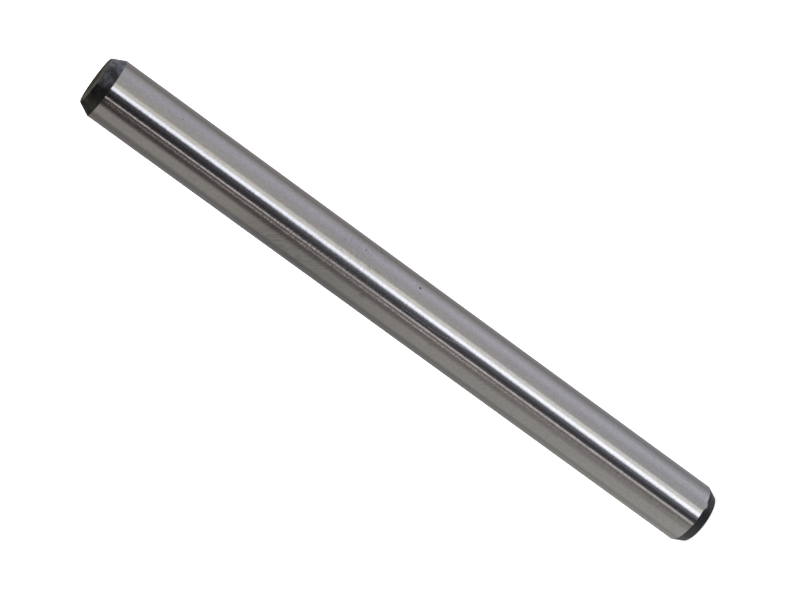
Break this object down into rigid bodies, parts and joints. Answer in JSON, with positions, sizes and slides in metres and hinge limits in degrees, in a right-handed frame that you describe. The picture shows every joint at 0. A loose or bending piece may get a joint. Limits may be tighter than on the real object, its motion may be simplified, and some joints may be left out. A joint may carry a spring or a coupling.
{
  "type": "locking pin",
  "caption": "Straight ground steel locking pin with a blackened chamfered lead at each end, pushed through aligned holes to lock them together.",
  "frame": {"origin": "centre of the lower end face, which is the end with the shorter chamfer", "axes": "+Z along the pin's axis, from the lower end to the end with the longer chamfer; the pin is round, so X and Y are free"},
  "size_m": [0.008, 0.008, 0.092],
  "materials": {
    "ground_steel": "centreless ground bright shank, black heat-treatment scale on both chamfers and both end faces"
  },
  "bodies": {
    "root": {"locking_pin": "ground_steel"}
  },
  "joints": []
}
